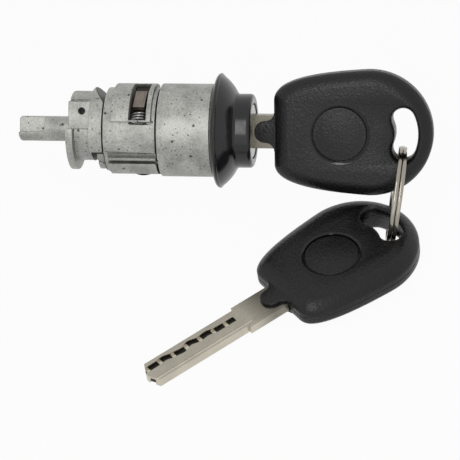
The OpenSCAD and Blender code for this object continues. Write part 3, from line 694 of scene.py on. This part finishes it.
def head_rim(keys, inset):
    """Points in s and v around the circles of a head's outline, drawn in by an inset.

    The circles run along a curve, each as s, v and radius in millimetres, and both sides are alike.
    """
    corner, flank = (4.5, 9.7, 4.5), (10, 8.5, 9.4)
    end = ((keys.head_len - keys.head_r) / MM, 0.0, keys.head_r / MM)
    spots = [Vector(corner), *bend(corner, flank, end, 40)]
    count = 180
    points = []
    for k in range(count):
        turn = math.tau * k / count
        out = Vector((math.cos(turn), math.sin(turn)))
        spot = max(spots, key=lambda c: c.x * out.x + c.y * abs(out.y) + c.z)
        radius = spot.z * MM - inset
        side = math.copysign(1.0, out.y)
        points.append((spot.x * MM + radius * out.x, side * spot.y * MM + radius * out.y))
    return points


def head_half(keys):
    """Pillow-shaped half of a head on the -Y side, as the hull of its outline at each level."""
    bm = bmesh.new()
    for height, inset in crown(keys):
        for s, v in head_rim(keys, inset):
            bm.verts.new((s, -height, v))
    bmesh.ops.convex_hull(bm, input=bm.verts, use_existing_faces=False)
    bmesh.ops.dissolve_limit(bm, angle_limit=math.radians(0.2), verts=bm.verts, edges=bm.edges)
    bmesh.ops.recalc_face_normals(bm, faces=bm.faces)
    return bm


def loop_cutter(keys):
    """Curved slot for the ring, about the round end of the head, widening softly at both faces."""
    half_t = keys.head_t / 2
    inner, outer = keys.loop_in, keys.head_r - keys.loop_wall
    mid, half = (inner + outer) / 2, (outer - inner) / 2
    flare = 1.2 * MM
    out = half_t + 2 * MM
    spread = math.radians(24)
    end = Vector((keys.head_len - keys.head_r, 0, 0))
    mouth = half + flare
    side = [(half + 1.4 * flare, out), (mouth, half_t)]
    throat = ((half, half_t - 0.4 * flare), (half, half_t - 2 * flare))
    side += [(p.x, p.y) for p in bend((mouth, half_t), *throat, 6)]
    side += [(x, -y) for x, y in reversed(side)]
    bm = bmesh.new()
    start = Matrix.Translation(end) @ Matrix.Rotation(spread, 4, "Y")
    ring = [start @ Vector((mid + x, y, 0)) for x, y in side]
    ring += [start @ Vector((mid - x, y, 0)) for x, y in reversed(side)]
    bmesh.ops.spin(
        bm, geom=chain(bm, [*ring, ring[0]]), cent=end, axis=(0, -1, 0), dvec=(0, 0, 0),
        angle=2 * spread, steps=24, use_merge=False, use_duplicate=False,
    )
    for turn in (spread, -spread):
        place = Matrix.Translation(end) @ Matrix.Rotation(turn, 4, "Y")
        line = [place @ Vector((mid + x, y, 0)) for x, y in [(0.0, out), *side, (0.0, -out)]]
        bmesh.ops.spin(
            bm, geom=chain(bm, line), cent=place @ Vector((mid, 0, 0)), axis=(0, math.copysign(1, turn), 0),
            dvec=(0, 0, 0), angle=math.pi, steps=16, use_merge=False, use_duplicate=False,
        )
    close_up(bm)
    return bm


def cut_room(bm, start, end, half_t, half_w):
    """Adds a box along the key's middle, given in millimetres."""
    size = Matrix.Diagonal(((end - start) * MM, 2 * half_t * MM, 2 * half_w * MM, 1.0))
    bmesh.ops.create_cube(bm, size=1.0, matrix=Matrix.Translation(((start + end) / 2 * MM, 0, 0)) @ size)


def recess_cutter(keys):
    """Round recess of the inlay, with a soft bevel at the face."""
    radius = keys.inlay_r + keys.inlay_gap
    soft = keys.recess_soft
    face = -keys.head_t / 2
    floor = face + keys.inlay_deep
    low, foot = face + 0.24 * MM, face + 0.05 * MM
    line = [(0, floor), (radius, floor), (radius, low)]
    line += [tuple(p) for p in bend((radius, low), (radius + 0.3 * soft, foot), (radius + soft, face), 6)]
    line += [(radius + 2 * soft, face - soft), (0, face - soft)]
    bm = bmesh.new()
    full_turn(bm, [(r, y, 0) for r, y in line], (0, 1, 0), ROUND)
    bmesh.ops.translate(bm, vec=(keys.inlay_s, 0, 0), verts=bm.verts)
    return bm


def head_cutter(keys, front):
    """What is taken out of a head half: the ring's loop, the room for tang and chip, and the inlay's recess."""
    bm = loop_cutter(keys)
    cut_room(bm, start=-9, end=12.05, half_t=1.5, half_w=4.05)
    cut_room(bm, start=13.4, end=25.6, half_t=1.6, half_w=3.1)
    if front:
        recess = recess_cutter(keys)
        blank = bpy.data.meshes.new("recess")
        recess.to_mesh(blank)
        recess.free()
        bm.from_mesh(blank)
        bpy.data.meshes.remove(blank)
    return bm


def tongue():
    """Tongue of the head along the face of the blade: a round end that spreads in two fillets into the head."""
    half = 3.3 * MM
    reach = 6.0 * MM
    fillet = 2.6 * MM
    inside = 3.0 * MM
    top = -2.55 * MM
    bottom = -1.5 * MM
    soft = 0.35 * MM
    quarter = [math.pi / 2 * i / 10 for i in range(11)]
    upper = [(half - reach - half * math.cos(a), half * math.sin(a)) for a in quarter]
    upper += [(fillet * (math.sin(a) - 1), half + fillet * (1 - math.cos(a))) for a in quarter]
    upper.append((inside, half + fillet))
    outline = upper + [(s, -v) for s, v in reversed(upper[1:])]
    bm = bmesh.new()
    chain(bm, [(s, top, v) for s, v in [*outline, outline[0]]])
    bmesh.ops.remove_doubles(bm, verts=bm.verts, dist=0.01 * MM)
    bmesh.ops.contextual_create(bm, geom=bm.edges[:])
    faces = bmesh.ops.extrude_face_region(bm, geom=bm.faces[:])["geom"]
    bmesh.ops.translate(
        bm, vec=(0, bottom - top, 0), verts=[item for item in faces if isinstance(item, bmesh.types.BMVert)]
    )
    close_up(bm)
    rim = [edge for edge in bm.edges if all(abs(vert.co.y - top) < 0.01 * MM for vert in edge.verts)]
    bmesh.ops.bevel(
        bm, geom=rim, offset=soft, offset_type="OFFSET", segments=3, profile=0.5,
        affect="EDGES", clamp_overlap=False, material=-1,
    )
    return bm


def wire_turns(bm, section, axis, steps):
    """Sweeps a closed section about an axis: each step is an angle and a shift along the axis."""
    geom = section
    for angle, shift in steps:
        geom = bmesh.ops.spin(
            bm, geom=geom, cent=(0, 0, 0), axis=axis, dvec=Vector(axis) * shift,
            angle=angle, steps=1, use_merge=False, use_duplicate=False,
        )["geom_last"]
    bmesh.ops.holes_fill(bm, edges=[edge for edge in bm.edges if edge.is_boundary], sides=0)
    close_up(bm)


class LOCK_OT_castings(bpy.types.Operator):
    """Finish the die-cast housing and driver with rounded edges"""

    bl_idname = "lock_cylinder.castings"
    bl_label = "Castings"

    def execute(self, context):
        lock = context.scene.lock_cylinder.lock
        for node in ("housing", "driver"):
            bm = solid_of(node)
            round_edges(bm, lock.casting_edge)
            piece(bm, node, weighted=True)
        return {"FINISHED"}


class LOCK_OT_bezel(bpy.types.Operator):
    """Turn the flared bezel from its half section"""

    bl_idname = "lock_cylinder.bezel"
    bl_label = "Bezel"

    def execute(self, context):
        bm = bmesh.new()
        full_turn(bm, bezel_profile(context.scene.lock_cylinder.lock), (1, 0, 0), 144)
        piece(bm, "bezel")
        return {"FINISHED"}


class LOCK_OT_plug(bpy.types.Operator):
    """Finish the plug, its catch and its small steel pieces, and the wafers inside"""

    bl_idname = "lock_cylinder.plug"
    bl_label = "Plug and catch"

    def execute(self, context):
        lock = context.scene.lock_cylinder.lock
        for node in ("plug", "catch", "bow_spring"):
            bm = solid_of(node)
            round_edges(bm, lock.turned_edge)
            piece(bm, node, weighted=True)
        # The driver's pin is painted dark as shade at the bottom of its hole.
        dress("driver_pin", shaded_pin())
        for node in SLOT_OF:
            if node.startswith("wafer_"):
                dress(node)
        return {"FINISHED"}


class LOCK_OT_catch_spring(bpy.types.Operator):
    """Coil the spring behind the catch"""

    bl_idname = "lock_cylinder.catch_spring"
    bl_label = "Catch spring"

    turns: IntProperty(name="Turns", description="Number of turns of the spring", default=3, min=1)
    wire: length("Wire", "Thickness of the spring's wire", 0.7)

    def execute(self, context):
        low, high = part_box("catch_spring")
        per_turn = 32
        coil_r = (high.x - low.x) / 2 - self.wire / 2
        flat_r = (high.z - low.z) / 2 - self.wire / 2
        rise = high.y - low.y - self.wire
        bm = bmesh.new()
        made = bmesh.ops.create_circle(
            bm, segments=14, radius=self.wire / 2, matrix=Matrix.Translation((coil_r, self.wire / 2, 0))
        )
        count = per_turn * self.turns
        section = made["verts"] + bm.edges[:]
        wire_turns(bm, section, (0, 1, 0), [(math.tau / per_turn, rise / count)] * count)
        for vert in bm.verts:
            reach = math.hypot(vert.co.x, vert.co.z)
            vert.co.z *= (reach - coil_r + flat_r) / reach
        centre = middle("catch_spring")
        place = Matrix.Translation((centre.x, low.y, centre.z))
        made = piece(bm, "catch_spring", place)
        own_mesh(made)
        return {"FINISHED"}


class LOCK_OT_key_heads(bpy.types.Operator):
    """Mould the two halves of both key heads"""

    bl_idname = "lock_cylinder.key_heads"
    bl_label = "Key heads"

    def execute(self, context):
        keys = context.scene.lock_cylinder.keys
        for prefix in KEYS:
            axes = key_axes(prefix)
            for side in ("front", "back"):
                whole = carved(head_half(keys), tongue(), "UNION")
                half = carved(whole, head_cutter(keys, side == "front"), "DIFFERENCE")
                turned = Matrix.Rotation(0.0 if side == "front" else math.pi, 4, "X")
                made = piece(half, f"{prefix}_head_{side}", axes @ turned)
                if side == "front":
                    mark_key_place(made, axes)
            dress(prefix + "_chip")
        return {"FINISHED"}


class LOCK_OT_inlays(bpy.types.Operator):
    """Turn the domed round inlays of both heads"""

    bl_idname = "lock_cylinder.inlays"
    bl_label = "Inlays"

    def execute(self, context):
        keys = context.scene.lock_cylinder.keys
        radius = keys.inlay_r
        face = -keys.head_t / 2
        floor = face + keys.inlay_deep
        rim = face + 0.65 * MM
        crest = face - 0.2 * MM
        fall = 0.55 * MM
        inner = radius - keys.inlay_soft
        line = [(0, floor), (radius, floor), (radius, rim)]
        line += [tuple(p) for p in bend((radius, rim), (radius, crest + fall), (inner, crest + fall), 8)]
        line += [(r, crest + fall * (r / inner) ** 2) for r in (inner * i / 12 for i in reversed(range(12)))]
        for prefix in KEYS:
            bm = bmesh.new()
            full_turn(bm, [(r, y, 0) for r, y in line], (0, 1, 0), ROUND)
            place = key_axes(prefix) @ Matrix.Translation((keys.inlay_s, 0, 0))
            piece(bm, prefix + "_inlay", place)
        return {"FINISHED"}


class LOCK_OT_blades(bpy.types.Operator):
    """Finish both milled blades with fine edges"""

    bl_idname = "lock_cylinder.blades"
    bl_label = "Blades"

    def execute(self, context):
        keys = context.scene.lock_cylinder.keys
        for prefix in KEYS:
            bm = solid_of(prefix + "_blade")
            round_edges(bm, keys.blade_edge)
            made = piece(bm, prefix + "_blade", weighted=True)
            mark_key_place(made, key_axes(prefix))
        return {"FINISHED"}


class LOCK_OT_split_ring(bpy.types.Operator):
    """Wind the split ring from flattened wire"""

    bl_idname = "lock_cylinder.split_ring"
    bl_label = "Split ring"

    turn: IntProperty(name="Wound angle", description="Degrees that the wire is wound through", default=700)
    ease: IntProperty(name="Crossing", description="Half the degrees over which the wire changes side", default=50)
    phase: IntProperty(name="Start", description="Where the wire starts, in degrees", default=150)

    def execute(self, context):
        keys = context.scene.lock_cylinder.keys
        mid_r = keys.ring_r - keys.ring_wire_t / 2
        pitch = keys.ring_wire_w + 0.1 * MM
        corner = 0.42 * MM
        step = 2
        bm = bmesh.new()
        start = Matrix.Translation((mid_r, 0, -pitch / 2)) @ Matrix.Rotation(math.pi / 2, 4, "X")
        size = Matrix.Diagonal((keys.ring_wire_t, keys.ring_wire_w, 1, 1))
        bmesh.ops.create_grid(bm, x_segments=1, y_segments=1, size=0.5, matrix=start @ size)
        bmesh.ops.bevel(
            bm, geom=bm.verts[:], offset=corner, offset_type="OFFSET", segments=4, profile=0.5,
            affect="VERTICES", clamp_overlap=True, material=-1,
        )
        bmesh.ops.delete(bm, geom=bm.faces[:], context="FACES_ONLY")

        def side(angle):
            share = min(1.0, max(0.0, (angle - self.turn / 2 + self.ease) / (2 * self.ease)))
            return pitch * (1 - math.cos(math.pi * share)) / 2

        steps = [(math.radians(step), side(a + step) - side(a)) for a in range(0, self.turn, step)]
        wire_turns(bm, bm.verts[:] + bm.edges[:], (0, 0, 1), steps)
        hinge = JOINTS["spare_key_swing"]
        lean = math.asin(hinge["axis"][2])
        place = Matrix.Translation(hinge["pos_m"]) @ Matrix.Rotation(math.pi / 2 + lean, 4, "Y")
        place = place @ Matrix.Rotation(math.radians(self.phase), 4, "Z")
        piece(bm, "split_ring", place)
        return {"FINISHED"}


class LOCK_OT_stage(bpy.types.Operator):
    """Set the pale floor, the soft lights and the camera"""

    bl_idname = "lock_cylinder.stage"
    bl_label = "Stage"

    def execute(self, context):
        stage = context.scene.lock_cylinder.stage
        make_floor(stage)
        make_world(stage)
        soft_light("key_light", stage.key_power, wide=0.1, tall=0.48, azimuth=-4, elevation=53, away=0.62)
        soft_light("front_light", stage.front_power, wide=0.55, tall=0.55, azimuth=12, elevation=16, away=0.75)
        make_camera()
        context.scene.view_settings.view_transform = "Standard"
        return {"FINISHED"}


def seen_white(tree):
    """1 for rays that show the background: from the camera, from gloss and through glass."""
    camera = add_node(tree, "ShaderNodeLightPath", output="Is Camera Ray")
    gloss = add_node(tree, "ShaderNodeLightPath", output="Is Glossy Ray")
    glass = add_node(tree, "ShaderNodeLightPath", output="Is Transmission Ray")
    seen = add_node(tree, "ShaderNodeMath", {0: camera, 1: gloss}, operation="MAXIMUM")
    return add_node(tree, "ShaderNodeMath", {0: seen, 1: glass}, operation="MAXIMUM")


def make_floor(stage):
    """A wide pale floor that keeps a light shadow."""
    half = 3.0
    height = CAD_BOX[0].z - 0.05 * MM
    bm = bmesh.new()
    bmesh.ops.create_grid(
        bm, x_segments=1, y_segments=1, size=half, matrix=Matrix.Translation((0, 0, height))
    )
    mesh = bpy.data.meshes.new("floor")
    bm.to_mesh(mesh)
    bm.free()
    floor = bpy.data.objects.new("floor", mesh)
    bpy.context.scene.collection.objects.link(floor)
    finish, tree, shader = new_finish("matt_white_paper")
    fill(tree, shader, {"Base Color": rgba(stage.floor), "Roughness": 0.9, "Specular IOR Level": 0.0})
    white = add_node(tree, "ShaderNodeEmission", {"Color": WHITE, "Strength": 1.0})
    share = add_node(tree, "ShaderNodeMath", {0: seen_white(tree), 1: stage.lift}, operation="MULTIPLY")
    paper = add_node(tree, "ShaderNodeMixShader", {0: share, 1: shader.outputs[0], 2: white})
    fill(tree, tree.nodes["Material Output"], {"Surface": paper})
    mesh.materials.append(finish)


def make_world(stage):
    """An even pale room, plain white where the camera or gloss looks past the floor."""
    world = bpy.data.worlds.new("studio")
    world.use_nodes = True
    tree = world.node_tree
    strength = add_node(tree, "ShaderNodeMapRange", {0: seen_white(tree), 3: stage.sky, 4: 1.0})
    fill(tree, tree.nodes["Background"], {"Color": WHITE, "Strength": strength})
    bpy.context.scene.world = world


def soft_light(name, power, wide, tall, azimuth, elevation, away):
    """A soft box that looks at the middle of the object from some way off, in metres and degrees."""
    lamp = bpy.data.lights.new(name, "AREA")
    lamp.energy = power
    lamp.shape = "RECTANGLE"
    lamp.size = wide
    lamp.size_y = tall
    light = bpy.data.objects.new(name, lamp)
    bpy.context.scene.collection.objects.link(light)
    turn, rise = math.radians(azimuth), math.radians(elevation)
    back = Vector((math.sin(turn) * math.cos(rise), -math.cos(turn) * math.cos(rise), math.sin(rise)))
    light.location = (CAD_BOX[0] + CAD_BOX[1]) / 2 + back * away
    light.rotation_euler = back.to_track_quat("Z", "Y").to_euler()


def make_camera():
    """A long lens at the photograph's angle, with the lock axis a little above the middle of the picture."""
    picture = 460
    focal = 2500
    per_mm = 3.3
    origin_px = (215.5, 130.4)
    azimuth, elevation, roll = (math.radians(a) for a in (11, 42, 6.4))
    back = Vector((
        math.sin(azimuth) * math.cos(elevation), -math.cos(azimuth) * math.cos(elevation), math.sin(elevation)
    ))
    level = Vector((math.cos(azimuth), math.sin(azimuth), 0))
    upright = back.cross(level)
    right = math.cos(roll) * level - math.sin(roll) * upright
    up = math.cos(roll) * upright + math.sin(roll) * level
    aim = right * (picture / 2 - origin_px[0]) / per_mm * MM
    aim += up * (origin_px[1] - picture / 2) / per_mm * MM
    data = bpy.data.cameras.new("camera")
    data.sensor_width = 36
    data.lens = data.sensor_width * focal / picture
    data.clip_start = 0.01
    data.clip_end = 20
    camera = bpy.data.objects.new("camera", data)
    bpy.context.scene.collection.objects.link(camera)
    turn = Matrix((right, up, back)).transposed().to_4x4()
    camera.matrix_world = Matrix.Translation(aim + back * focal / per_mm * MM) @ turn
    bpy.context.scene.camera = camera


OPERATORS = (
    LOCK_OT_castings, LOCK_OT_bezel, LOCK_OT_plug, LOCK_OT_catch_spring, LOCK_OT_key_heads, LOCK_OT_inlays,
    LOCK_OT_blades, LOCK_OT_split_ring, LOCK_OT_stage,
)


class Looks(bpy.types.PropertyGroup):
    """All that a user may change."""

    lock: PointerProperty(type=LockLooks, name="Lock", description="Sizes and colours of the lock cylinder")
    keys: PointerProperty(type=KeyLooks, name="Keys", description="Sizes and colours of the keys and the ring")
    stage: PointerProperty(type=StageLooks, name="Stage", description="Floor, light and camera")


class LOCK_PT_panel(bpy.types.Panel):
    """Lists the pieces and their sizes"""

    bl_idname = "LOCK_PT_panel"
    bl_label = "Ignition lock cylinder"
    bl_space_type = "VIEW_3D"
    bl_region_type = "UI"
    bl_category = "Lock"

    def draw(self, context):
        shown = context.scene.lock_cylinder
        for operator in OPERATORS:
            self.layout.operator(operator.bl_idname)
        for group in (shown.lock, shown.keys, shown.stage):
            box = self.layout.box()
            for name in group.__annotations__:
                box.prop(group, name)


CLASSES = (LockLooks, KeyLooks, StageLooks, Looks, *OPERATORS, LOCK_PT_panel)


def register():
    for made in CLASSES:
        bpy.utils.register_class(made)
    bpy.types.Scene.lock_cylinder = PointerProperty(type=Looks)


def unregister():
    del bpy.types.Scene.lock_cylinder
    for made in reversed(CLASSES):
        bpy.utils.unregister_class(made)


def main():
    register()
    bpy.ops.lock_cylinder.castings()
    bpy.ops.lock_cylinder.bezel()
    bpy.ops.lock_cylinder.plug()
    bpy.ops.lock_cylinder.catch_spring()
    bpy.ops.lock_cylinder.key_heads()
    bpy.ops.lock_cylinder.inlays()
    bpy.ops.lock_cylinder.blades()
    bpy.ops.lock_cylinder.split_ring()
    bpy.ops.lock_cylinder.stage()


if __name__ == "__main__":
    main()
